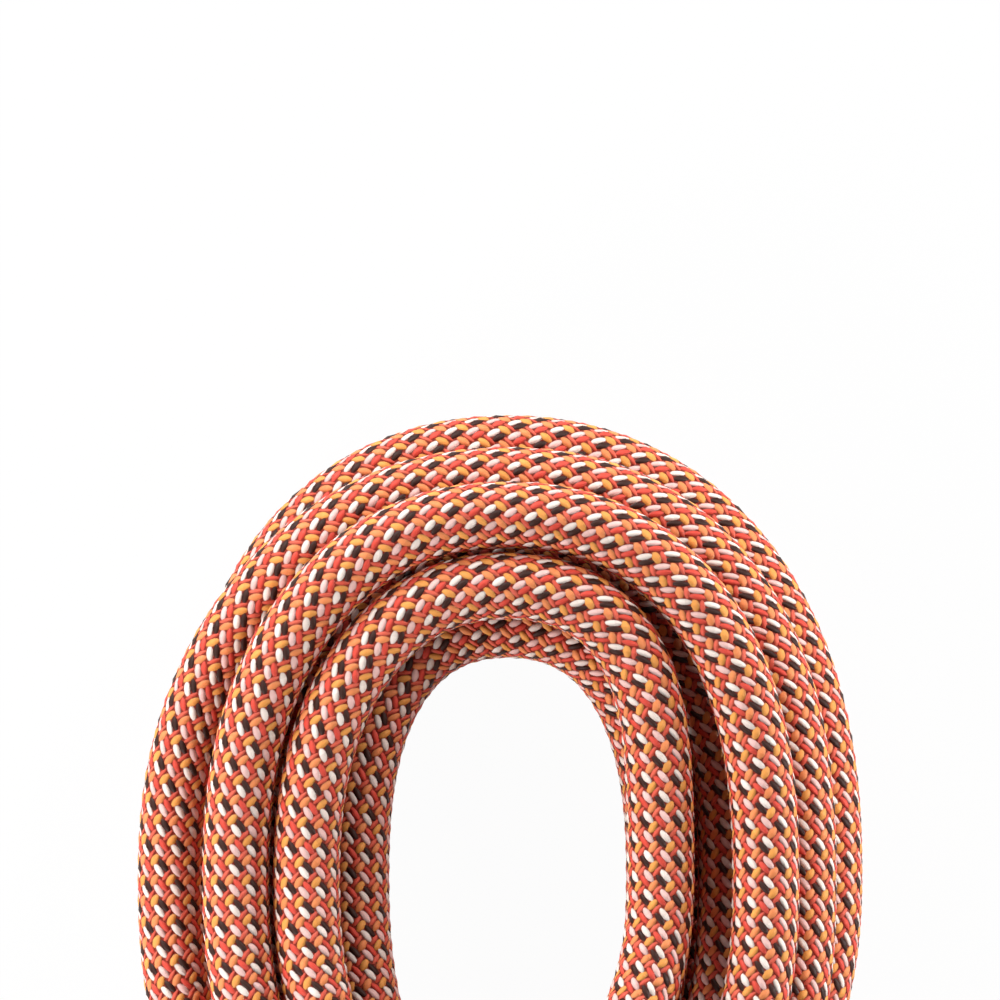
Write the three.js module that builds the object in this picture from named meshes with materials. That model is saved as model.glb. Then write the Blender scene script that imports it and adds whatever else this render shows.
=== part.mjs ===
// Dynamic climbing rope, tied up as a hank that lies flat. Millimetres, +Z up.
// The rope runs in one piece from end A to end B: seven turns piled in three layers,
// then the rope's own last stretch wrapped round the waist as a tie.
// +Y points to the upper fold, the one without rope ends in it.
import * as THREE from 'three';

// ---------------------------------------------------------------- driving sizes
const ROPE_DIAMETER = 9.8;
const PASS_CLEARANCE = 0.85;       // air between two passes that lie side by side
const SHEATH_WALL = 1.25;          // woven sheath, measured at a corner of the section
const CORE_STRANDS = 6;
const MARKER_THREAD_RADIUS = 0.4;
const ASSEMBLY_GAP = 0.3;          // between pieces that touch on the real rope

const UPPER_HOLE_WIDTH = 35.2;     // inside the innermost upper fold, side to side
const UPPER_HOLE_LEAN = 0.7;       // how far that hole lies to the right of the waist
const UPPER_SHOULDER = 108;        // widest place of the upper folds, from the waist
const UPPER_HOLE_RISE = 31.7;      // from there to the top of the hole
const UPPER_SQUARENESS = 2.4;      // exponent of the fold's outline: 2 is an ellipse
const LOWER_HOLE_LEFT = 10.8;      // inside the innermost lower fold, left of the waist
const LOWER_HOLE_RIGHT = 18.4;     // and right of it
const LOWER_HOLE_RISE = 14;
const LOWER_SQUARENESS = 2;

const TIE_TURNS = 4.5;             // over the top first, out underneath
const TIE_BEND_RADIUS = 20;        // where the rope turns into the tie and out of it
const START_END_PLACE = 2.25;      // end A, in steps outward from the lower fold
const FINISH_END_CLEARANCE = 1.5;  // from end B's tip to the lower fold round it
const END_STRAIGHT = 34;           // each end runs straight this far

const SLEEVE_LENGTH = 26;
const SLEEVE_WALL = 0.6;
const SLEEVE_SETBACK = 4;          // from the sheath's cut to the sleeve
const TIP_LENGTH = 3.2;            // fused nylon that seals the cut
const TIP_FULL_SHARE = 0.55;       // of its length that has the rope's own width
const TIP_BLUNTNESS = 0.6;         // its end against the rope's width

// ---------------------------------------------------------------- sizes that follow
const ROPE_RADIUS = ROPE_DIAMETER / 2;
const STEP = ROPE_DIAMETER + PASS_CLEARANCE;         // centre to centre of two passes
const FLAT_CUT = ROPE_DIAMETER / 10;                 // worn flat where it rests
const FLOOR_LEVEL = ROPE_RADIUS - FLAT_CUT;          // centre height of a resting pass
const BORE_RADIUS = ROPE_RADIUS - SHEATH_WALL;
const SLEEVE_BORE = ROPE_RADIUS + ASSEMBLY_GAP;
const SLEEVE_RADIUS = SLEEVE_BORE + SLEEVE_WALL;
const UPPER_LEFT = UPPER_HOLE_WIDTH / 2 - UPPER_HOLE_LEAN + ROPE_RADIUS;
const UPPER_RIGHT = UPPER_HOLE_WIDTH / 2 + UPPER_HOLE_LEAN + ROPE_RADIUS;
const UPPER_RISE = UPPER_HOLE_RISE + ROPE_RADIUS;
const LOWER_LEFT = LOWER_HOLE_LEFT + ROPE_RADIUS;
const LOWER_RIGHT = LOWER_HOLE_RIGHT + ROPE_RADIUS;
const LOWER_RISE = LOWER_HOLE_RISE + ROPE_RADIUS;
const TIE_HALF = TIE_TURNS * STEP / 2;               // half of the tie along Y
const TIE_SIDE_RADIUS = 2 * STEP;
const TIE_FLAT_HALF = 1.5 * STEP;
const TIE_TOP = FLOOR_LEVEL + 2 * TIE_SIDE_RADIUS;
const WAIST_END = TIE_HALF + STEP / 2;               // the runs are straight up to here
const FINISH_STRAIGHT_FROM = TIE_HALF + TIE_BEND_RADIUS + ROPE_DIAMETER;
const FINISH_TIP = FINISH_STRAIGHT_FROM + END_STRAIGHT + ASSEMBLY_GAP + TIP_LENGTH;
const LOWER_SHOULDER = FINISH_TIP + FINISH_END_CLEARANCE - LOWER_HOLE_RISE;
const UPPER_SETTLED = UPPER_SHOULDER + 2 * STEP;     // past here a pass has come down
const LOWER_SETTLED = LOWER_SHOULDER + 3 * STEP;
const END_LEVEL = SLEEVE_RADIUS;                     // a sleeved end rests on its sleeve

// The turns in the order of winding. Every place is counted in steps outward from the
// innermost run and fold; `slot` is the place in the waist.
const INNER_CLIMB = { from: 0.6, to: 1.2 };  // in fold lengths, from the fold's start
const RUN_IN_FOLDS = 0.4;                    // share of the next run that the climb may use
const TURNS = [
  { layer: 0, slot: 1, left: 2.1, top: 2.45, right: 2.4, lowRight: 1.6, low: 1, lowLeft: 1 },
  { layer: 0, slot: 0, left: 1.05, top: 0.5, right: 0.5, lowRight: 0.6, low: 0, lowLeft: 0 },
  { layer: 1, slot: 0, left: 0, top: 0, right: 0, lowRight: 0.55, low: 1, lowLeft: 1 },
  { layer: 1, slot: 1, left: 1.3, top: 1, right: 1, lowRight: 1.55, low: 2, lowLeft: 2 },
  { layer: 1, slot: 2, left: 2.57, top: 2, right: 2, lowRight: 2.25, low: 2, lowLeft: 2 },
  { layer: 2, slot: 1, left: 1.64, top: 1.52, right: 1.45, lowRight: 1.15, low: 1, lowLeft: 1 },
  { layer: 2, slot: 0, left: 0.67, top: 0.55, right: 0 },
];

const RUN_STEPS = 3;
const FOLD_STEPS = 6;
const TIE_SIDE_STEPS = 6;
const BEND_STEPS = 3;
const TURNED_SIDES = 16;

// ---------------------------------------------------------------- the rope's route
// A station is one point of the centre line with the direction that its section calls up.
const UP = new THREE.Vector3(0, 0, 1);
const DOWN = new THREE.Vector3(0, 0, -1);
const station = (x, y, z, up = UP) => ({ at: new THREE.Vector3(x, y, z), up });

const mix = (a, b, t) => a + (b - a) * t;
const signedPower = (value, power) => Math.sign(value) * Math.abs(value) ** power;
function ease(from, to, value) {
  const t = Math.min(1, Math.max(0, (value - from) / (to - from)));
  return t * t * t * (10 - 15 * t + 6 * t * t);
}
const easeSlope = (t) => 30 * t * t * (1 - t) * (1 - t);

// Height of a layer: settled at the folds, one step higher over the tie's underside.
function layerHeight(layer, y) {
  const settled = y > 0 ? UPPER_SETTLED : LOWER_SETTLED;
  return FLOOR_LEVEL + STEP * (layer + 1 - ease(WAIST_END, settled, Math.abs(y)));
}

// Every pass keeps a number of steps outward from the innermost run or fold, so that
// two passes of one layer stay as far apart in a bend as they are in the straight.
// One run, from the waist out to a fold. `layerAt` gives the layer at a share of the run.
function run(waist, shoulder, places, layerAt) {
  const stations = [];
  const side = Math.sign(shoulder.x);
  for (let i = 0; i <= RUN_STEPS; i += 1) {
    const t = i / RUN_STEPS;
    const x = mix(waist.x, shoulder.x, ease(0, 1, t));
    const y = mix(waist.y, shoulder.y, t);
    const lean = (shoulder.x - waist.x) * easeSlope(t) / (shoulder.y - waist.y);
    const out = STEP * mix(places.waist, places.fold, ease(0, 1, t)) / Math.hypot(1, lean);
    stations.push(station(x + side * out, y - side * lean * out, layerHeight(layerAt(t), y)));
  }
  return stations;
}

// The stations of one fold between its shoulders, which belong to the runs.
function fold(from, to, rise, squareness, places, layerAt) {
  const stations = [];
  const centre = (from.x + to.x) / 2;
  const reach = (from.x - to.x) / 2;
  const beyondSign = Math.sign(from.y);
  for (let i = 1; i < FOLD_STEPS; i += 1) {
    const share = i / FOLD_STEPS;
    const angle = Math.PI * share;
    const across = signedPower(Math.cos(angle), 2 / squareness);
    const beyond = beyondSign * signedPower(Math.sin(angle), 2 / squareness);
    const normal = new THREE.Vector2(
      signedPower(across, squareness - 1) / reach,
      signedPower(beyond, squareness - 1) / rise,
    ).normalize();
    const sides = mix(places.from, places.to, (1 - Math.cos(angle)) / 2);
    const out = STEP * mix(sides, places.tip, Math.sin(angle) ** 2);
    const x = centre + reach * across + normal.x * out;
    const y = from.y + rise * beyond + normal.y * out;
    stations.push(station(x, y, layerHeight(layerAt(share), y)));
  }
  return stations;
}

const UPPER = {
  leftWaist: { x: -STEP / 2, y: WAIST_END },
  rightWaist: { x: STEP / 2, y: WAIST_END },
  left: { x: -UPPER_LEFT, y: UPPER_SHOULDER },
  right: { x: UPPER_RIGHT, y: UPPER_SHOULDER },
};
const LOWER = {
  leftWaist: { x: -STEP / 2, y: -WAIST_END },
  rightWaist: { x: STEP / 2, y: -WAIST_END },
  left: { x: -LOWER_LEFT, y: -LOWER_SHOULDER },
  right: { x: LOWER_RIGHT, y: -LOWER_SHOULDER },
};
const TIE_ENTRY = { x: TIE_BEND_RADIUS - TIE_FLAT_HALF, y: TIE_HALF + TIE_BEND_RADIUS };

// From the waist up the left run, over the fold and down the right run to the waist.
function upperHalf(turn, isLast) {
  const { layer, slot, left, top, right } = turn;
  const level = () => layer;
  const up = run(UPPER.leftWaist, UPPER.left, { waist: slot, fold: left }, level);
  const places = { from: left, tip: top, to: right };
  const over = fold(UPPER.left, UPPER.right, UPPER_RISE, UPPER_SQUARENESS, places, level);
  // The last run climbs on to the top of the tie instead of into the waist.
  const climb = (t) => mix(layer + 1, layer, ease(0, 1, t));
  const down = isLast
    ? run(TIE_ENTRY, UPPER.right, { waist: 0, fold: right }, climb)
    : run(UPPER.rightWaist, UPPER.right, { waist: slot, fold: right }, level);
  return [...up, ...over, ...down.reverse()];
}

// From the waist down the right run, round the fold and up the left run of the next turn.
function lowerHalf(turn, next) {
  const { layer, slot, lowRight, low, lowLeft } = turn;
  const climb = next.layer - layer;
  const outside = slot > 0;              // an outer pass climbs on the run before its fold
  const climbed = (t) => layer + climb * ease(INNER_CLIMB.from, INNER_CLIMB.to, t);
  const before = (t) => (outside ? layer + climb * ease(0, 1, t) : layer);
  const round = (t) => (outside ? next.layer : climbed(t));
  const after = (t) => (outside ? next.layer : climbed(1 + RUN_IN_FOLDS * (1 - t)));
  const down = run(LOWER.rightWaist, LOWER.right, { waist: slot, fold: lowRight }, before);
  const places = { from: lowRight, tip: low, to: lowLeft };
  const under = fold(LOWER.right, LOWER.left, LOWER_RISE, LOWER_SQUARENESS, places, round);
  const up = run(LOWER.leftWaist, LOWER.left, { waist: next.slot, fold: lowLeft }, after);
  return [...down, ...under, ...up.reverse()];
}

// The tie: a level helix round the waist, straight above and below, round at the sides.
function tie() {
  const stations = [];
  const middle = FLOOR_LEVEL + TIE_SIDE_RADIUS;
  const arc = Math.PI * TIE_SIDE_RADIUS;
  const around = 2 * arc + 4 * TIE_FLAT_HALF;
  for (let half = 0; half < 2 * TIE_TURNS; half += 1) {
    const side = half % 2 === 0 ? -1 : 1;
    for (let i = 0; i <= TIE_SIDE_STEPS; i += 1) {
      const angle = Math.PI * i / TIE_SIDE_STEPS;
      const outward = new THREE.Vector3(side * Math.sin(angle), 0, -side * Math.cos(angle));
      const travelled = half * around / 2 + arc * i / TIE_SIDE_STEPS;
      stations.push({
        at: new THREE.Vector3(side * TIE_FLAT_HALF, TIE_HALF - STEP * travelled / around, middle)
          .addScaledVector(outward, TIE_SIDE_RADIUS),
        up: outward,
      });
    }
  }
  return stations;
}

// The level quarter bend between a run at the middle and the tie's left edge.
function quarterBend(sign, height, up) {
  const stations = [];
  for (let i = 0; i < BEND_STEPS; i += 1) {
    const angle = Math.PI / 2 * i / BEND_STEPS;
    const x = -TIE_FLAT_HALF + TIE_BEND_RADIUS * Math.cos(angle);
    const y = sign * (TIE_HALF + TIE_BEND_RADIUS * (1 - Math.sin(angle)));
    stations.push(station(x, y, height, up));
  }
  return stations;
}

// End A lies under the turns, beside the lower fold; end B lies inside that fold.
function startEnd() {
  const places = { waist: TURNS[0].slot, fold: START_END_PLACE };
  const out = run(LOWER.leftWaist, LOWER.left, places, () => 0).reverse();
  const { at } = out[0];
  at.z = END_LEVEL;
  return [station(at.x, at.y - END_STRAIGHT, END_LEVEL), ...out];
}
function finishEnd() {
  return [FINISH_STRAIGHT_FROM, FINISH_STRAIGHT_FROM + END_STRAIGHT].map(
    (y) => station(TIE_ENTRY.x, -y, END_LEVEL, DOWN),
  );
}

function ropeRoute() {
  const stations = [...startEnd()];
  TURNS.forEach((turn, i) => {
    const next = TURNS[i + 1];
    stations.push(...upperHalf(turn, !next));
    if (next) stations.push(...lowerHalf(turn, next));
  });
  stations.pop();
  stations.push(...quarterBend(1, TIE_TOP, UP), ...tie());
  stations.push(...quarterBend(-1, FLOOR_LEVEL, DOWN).reverse(), ...finishEnd());
  return stations;
}

// ---------------------------------------------------------------- sections and sweeps
// Each station gets a frame: the way along, the section's own up, and its side.
function addFrames(stations) {
  const directions = stations.slice(1).map(
    (s, i) => s.at.clone().sub(stations[i].at).normalize(),
  );
  stations.forEach((s, i) => {
    const before = directions[Math.max(i - 1, 0)];
    const after = directions[Math.min(i, directions.length - 1)];
    s.along = before.clone().add(after).normalize();
    s.up = s.up.clone().addScaledVector(s.along, -s.up.dot(s.along)).normalize();
    s.side = s.along.clone().cross(s.up);
  });
  return stations;
}

const polar = (radius, degrees) => [
  radius * Math.cos(THREE.MathUtils.degToRad(degrees)),
  radius * Math.sin(THREE.MathUtils.degToRad(degrees)),
];
const hexagon = (radius) => [0, 60, 120, 180, 240, 300].map((degrees) => polar(radius, degrees));

// The points of a section set across the route, none of them below the floor.
function sectionPoints(section, s) {
  return section.map(([side, up]) => {
    const point = s.at.clone().addScaledVector(s.side, side).addScaledVector(s.up, up);
    point.z = Math.max(point.z, 0);
    return point;
  });
}

function solidFrom(points, faces) {
  const geometry = new THREE.BufferGeometry();
  const numbers = points.flatMap((point) => point.toArray());
  geometry.setAttribute('position', new THREE.Float32BufferAttribute(numbers, 3));
  geometry.setIndex(faces);
  return geometry;
}

// Rings of equal size joined into a skin; `base` is the first ring's first point.
function skin(base, rings, sides, inward = false) {
  const faces = [];
  for (let r = 0; r + 1 < rings; r += 1) {
    for (let k = 0; k < sides; k += 1) {
      const a = base + r * sides + k;
      const b = base + r * sides + (k + 1) % sides;
      faces.push(...(inward ? [a, b, a + sides, b, b + sides, a + sides]
        : [a, a + sides, b, b, a + sides, b + sides]));
    }
  }
  return faces;
}

// A solid strand: one convex section along the whole route.
function strand(stations, section) {
  const sides = section.length;
  const points = stations.flatMap((s) => sectionPoints(section, s));
  const faces = skin(0, stations.length, sides);
  const end = (stations.length - 1) * sides;
  for (let k = 1; k + 1 < sides; k += 1) faces.push(0, k, k + 1, end, end + k + 1, end + k);
  return solidFrom(points, faces);
}

// A hollow strand: the bore has as many sides as the outside, and both ends are open.
function sleeveAlong(stations, outside, bore) {
  const sides = outside.length;
  const rings = stations.length;
  const inner = rings * sides;
  const points = [
    ...stations.flatMap((s) => sectionPoints(outside, s)),
    ...stations.flatMap((s) => sectionPoints(bore, s)),
  ];
  const faces = [...skin(0, rings, sides), ...skin(inner, rings, sides, true)];
  const end = (rings - 1) * sides;
  for (let k = 0; k < sides; k += 1) {
    const next = (k + 1) % sides;
    faces.push(k, next, inner + k, next, inner + next, inner + k);
    const far = inner + end;
    faces.push(end + k, far + k, end + next, end + next, far + k, far + next);
  }
  return solidFrom(points, faces);
}

// The rings of a turned piece on the axis of a rope end, each [distance outward, radius].
function turnedPoints(end, rings) {
  const corners = Array.from({ length: TURNED_SIDES }, (_, k) => 90 + 360 * k / TURNED_SIDES);
  return rings.flatMap(([distance, radius]) => sectionPoints(
    corners.map((degrees) => polar(radius, degrees)),
    { at: end.at.clone().addScaledVector(end.outward, distance), side: end.side, up: end.up },
  ));
}

// A ring: its outline closes on itself, so the last ring joins the first.
function turnedRing(end, rings) {
  const sides = TURNED_SIDES;
  const faces = skin(0, rings.length, sides);
  const last = (rings.length - 1) * sides;
  for (let k = 0; k < sides; k += 1) {
    const next = (k + 1) % sides;
    faces.push(last + k, k, last + next, last + next, k, next);
  }
  return solidFrom(turnedPoints(end, rings), faces);
}

// A plug: its first and last rings are filled.
function turnedPlug(end, rings) {
  const sides = TURNED_SIDES;
  const faces = skin(0, rings.length, sides);
  const last = (rings.length - 1) * sides;
  for (let k = 1; k + 1 < sides; k += 1) faces.push(0, k, k + 1, last, last + k + 1, last + k);
  return solidFrom(turnedPoints(end, rings), faces);
}

// ---------------------------------------------------------------- least gap, printed
// Points along the six edges of the sheath, each with its way along the rope.
function edgePoints(stations, section) {
  const spacing = ROPE_DIAMETER / 8;
  const points = [];
  let travelled = 0;
  for (let i = 0; i + 1 < stations.length; i += 1) {
    const near = sectionPoints(section, stations[i]);
    const far = sectionPoints(section, stations[i + 1]);
    const length = stations[i].at.distanceTo(stations[i + 1].at);
    const pieces = Math.ceil(length / spacing);
    for (let k = 0; k < pieces * section.length; k += 1) {
      const edge = k % section.length;
      const share = Math.floor(k / section.length) / pieces;
      points.push({ at: near[edge].clone().lerp(far[edge], share), along: travelled + length * share });
    }
    travelled += length;
  }
  return { points, travelled };
}

// The points are sorted into cubes, so that each meets only its neighbours. Points less
// than a tight bend apart along the rope belong together.
function printLeastGap(stations, section) {
  const cube = ROPE_DIAMETER / 4;
  const tightBend = 4 * ROPE_DIAMETER;
  const cubeOf = (at, shift) => at.toArray().map((v, i) => Math.floor(v / cube) + shift[i]).join();
  const oneOff = [-1, 0, 1];
  const shifts = oneOff.flatMap((x) => oneOff.flatMap((y) => oneOff.map((z) => [x, y, z])));
  const cubes = new Map();
  const { points, travelled } = edgePoints(stations, section);
  let least = { distance: cube, at: stations[0].at };
  for (const { at, along } of points) {
    for (const other of shifts.flatMap((shift) => cubes.get(cubeOf(at, shift)) ?? [])) {
      const distance = at.distanceTo(other.at);
      if (along - other.along > tightBend && distance < least.distance) least = { distance, at };
    }
    const here = cubeOf(at, [0, 0, 0]);
    cubes.set(here, [...(cubes.get(here) ?? []), { at, along }]);
  }
  const place = least.at.toArray().map((value) => value.toFixed(0)).join(', ');
  console.log(`rope length ${(travelled / 1000).toFixed(2)} m in ${stations.length} stations`);
  console.log(`least gap of the rope to itself ${least.distance.toFixed(2)} mm, near ${place}`);
}

// ---------------------------------------------------------------- pieces
const route = addFrames(ropeRoute());
printLeastGap(route, hexagon(ROPE_RADIUS));
const group = new THREE.Group();
function add(name, geometry) {
  const mesh = new THREE.Mesh(geometry);
  mesh.name = name;
  group.add(mesh);
}

add('sheath', sleeveAlong(route, hexagon(ROPE_RADIUS), hexagon(BORE_RADIUS)));

// Three-sided strands keep clear of the bore, of the thread and of each other.
const strandInner = MARKER_THREAD_RADIUS + 1.5 * ASSEMBLY_GAP;
const strandOuter = BORE_RADIUS - 1.3 * ASSEMBLY_GAP;
const gapAngle = THREE.MathUtils.radToDeg(ASSEMBLY_GAP / BORE_RADIUS);
const strandHalfAngle = 180 / CORE_STRANDS - gapAngle;
for (let k = 0; k < CORE_STRANDS; k += 1) {
  const towards = 360 * (k + 0.5) / CORE_STRANDS;
  add(`core_strand_${k + 1}`, strand(route, [
    polar(strandInner, towards),
    polar(strandOuter, towards - strandHalfAngle),
    polar(strandOuter, towards + strandHalfAngle),
  ]));
}
const threadSection = [0, 120, 240].map((degrees) => polar(MARKER_THREAD_RADIUS, degrees));
add('marker_thread', strand(route, threadSection));

const first = route[0];
const last = route[route.length - 1];
const ends = {
  a: {
    at: first.at, outward: first.along.clone().negate(), side: first.side.clone().negate(), up: first.up,
  },
  b: { at: last.at, outward: last.along, side: last.side, up: last.up },
};
const sleeveNear = -SLEEVE_SETBACK;
const sleeveFar = sleeveNear - SLEEVE_LENGTH;
for (const [letter, end] of Object.entries(ends)) {
  add(`end_sleeve_${letter}`, turnedRing(end, [
    [sleeveFar, SLEEVE_BORE],
    [sleeveFar, SLEEVE_RADIUS],
    [sleeveNear, SLEEVE_RADIUS],
    [sleeveNear, SLEEVE_BORE],
  ]));
  add(`melted_tip_${letter}`, turnedPlug(end, [
    [ASSEMBLY_GAP, ROPE_RADIUS],
    [ASSEMBLY_GAP + TIP_FULL_SHARE * TIP_LENGTH, ROPE_RADIUS],
    [ASSEMBLY_GAP + TIP_LENGTH, TIP_BLUNTNESS * ROPE_RADIUS],
  ]));
}

// The origin is the middle of the hank's footprint, on the floor.
const box = new THREE.Box3().setFromObject(group);
const middle = box.getCenter(new THREE.Vector3());
group.children.forEach((mesh) => mesh.geometry.translate(-middle.x, -middle.y, 0));
const size = box.getSize(new THREE.Vector3());
console.log(`hank ${size.x.toFixed(1)} x ${size.y.toFixed(1)} x ${size.z.toFixed(1)} mm`);

export default group;
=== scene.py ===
"""Dynamic climbing rope tied as a flat hank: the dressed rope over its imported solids.

The rope runs in one piece through seven piled turns and a tie. Its woven sheath, its
twisted core, its shrunk sleeves and its melted tips are made here, in metres, +Z up.
"""

import logging
from dataclasses import dataclass, replace
from enum import Enum
from typing import Any, Callable, ClassVar, Sequence

import bpy
import numpy as np
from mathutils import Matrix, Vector


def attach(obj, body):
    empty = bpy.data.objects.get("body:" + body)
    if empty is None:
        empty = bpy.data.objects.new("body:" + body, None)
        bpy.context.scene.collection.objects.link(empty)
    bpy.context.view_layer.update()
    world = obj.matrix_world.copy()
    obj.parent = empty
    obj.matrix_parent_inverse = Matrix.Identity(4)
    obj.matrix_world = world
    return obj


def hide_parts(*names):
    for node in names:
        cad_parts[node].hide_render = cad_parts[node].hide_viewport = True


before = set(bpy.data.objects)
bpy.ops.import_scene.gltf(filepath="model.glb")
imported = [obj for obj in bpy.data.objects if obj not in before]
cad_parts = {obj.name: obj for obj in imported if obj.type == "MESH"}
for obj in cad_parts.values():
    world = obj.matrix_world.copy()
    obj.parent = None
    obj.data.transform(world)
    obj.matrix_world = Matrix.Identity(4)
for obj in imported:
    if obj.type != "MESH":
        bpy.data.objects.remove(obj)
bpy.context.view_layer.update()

LOG = logging.getLogger("rope")
MM = 0.001
# Floats round the sheath, the distance between two rows of them, the rows after which the
# picks repeat, and the strands that stand for the core.
WEAVE_COLUMNS = 12
WEAVE_ROW = 2.985 * MM
PERIOD_ROWS = 24
CORE_STRANDS = 6
Array = np.ndarray
Colour = tuple[float, float, float]
LayerAt = Callable[[Array], Array | float]
WHITE = (1.0, 1.0, 1.0)


def ease(start: float, end: float, value: Array | float) -> Array:
    """The quintic ease 10t^3 - 15t^4 + 6t^5, flat at both ends.

    Args:
        start: Where the ease begins.
        end: Where it has arrived.
        value: The place or places asked for.

    Returns:
        Shares from 0 to 1.
    """
    t = np.clip((np.asarray(value, float) - start) / (end - start), 0.0, 1.0)
    return t * t * t * (10 - 15 * t + 6 * t * t)


def mix(a: Array | float, b: Array | float, share: Array | float) -> Array | float:
    """A straight blend from a to b."""
    return a + (b - a) * share


def signed_power(value: Array, power: float) -> Array:
    """A power of the size of a value that keeps its sign."""
    return np.sign(value) * np.abs(value) ** power


def unit(vectors: Array) -> Array:
    """Each row of an array at length one."""
    return vectors / np.linalg.norm(vectors, axis=-1, keepdims=True)


def round_angles(count: int) -> Array:
    """Even angles round a circle, from 0."""
    return 2 * np.pi * np.arange(count) / count


def section_points(centre: Array, side: Array, up: Array, angle: Array, radius: Array) -> Array:
    """Points round their centres, at angles from side towards up, none below the floor."""
    across, above = radius * np.cos(angle), radius * np.sin(angle)
    points = centre + across[..., None] * side + above[..., None] * up
    points[..., 2] = np.maximum(points[..., 2], 0.0)
    return points


def colour(red: int, green: int, blue: int) -> Colour:
    """A shader colour from the 0 to 255 values that a screen shows."""
    s = np.array([red, green, blue]) / 255.0
    linear = np.where(s <= 0.04045, s / 12.92, ((s + 0.055) / 1.055) ** 2.4)
    return tuple(float(v) for v in linear)


# ------------------------------------------------------------------ the rope's route


@dataclass(frozen=True)
class Turn:
    """One turn of the hank. Places count steps outward from the innermost run and fold.

    `layer` is the turn's layer and `slot` its place in the waist. The others are its
    places at the upper shoulders, the upper tip, the lower shoulders and the lower tip.
    """

    layer: int
    slot: int
    left: float
    top: float
    right: float
    low_right: float = 0.0
    low: float = 0.0
    low_left: float = 0.0


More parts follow.
